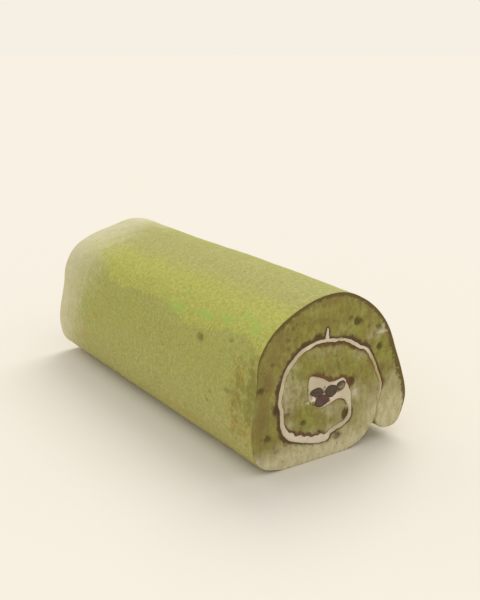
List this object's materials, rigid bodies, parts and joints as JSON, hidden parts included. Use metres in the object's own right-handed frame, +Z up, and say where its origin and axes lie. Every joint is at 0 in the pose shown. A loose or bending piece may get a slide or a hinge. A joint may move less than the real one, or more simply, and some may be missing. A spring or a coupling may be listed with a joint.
{
  "type": "matcha roll cake",
  "caption": "Green tea sponge rolled round a spiral of whipped cream with sweet red beans in its heart, cut square at both ends.",
  "frame": {"origin": "under the middle of the roll, on the surface that it rests on", "axes": "+Y along the roll, away from the cut face that shows best; +X across it, to the right of someone who looks at that face; +Z up"},
  "size_m": [0.0908, 0.2, 0.0764],
  "materials": {
    "sponge": "dry open green crumb, with a brown baked skin and a fine matt dusting of green tea outside",
    "cream": "soft whipped cream, matt to satin",
    "red_bean": "cooked red bean, dull with a slight moist sheen"
  },
  "bodies": {
    "root": {"sponge": "sponge", "cream_filling": "cream", "red_bean_1": "red_bean", "red_bean_2": "red_bean", "red_bean_3": "red_bean", "red_bean_4": "red_bean"}
  },
  "joints": []
}
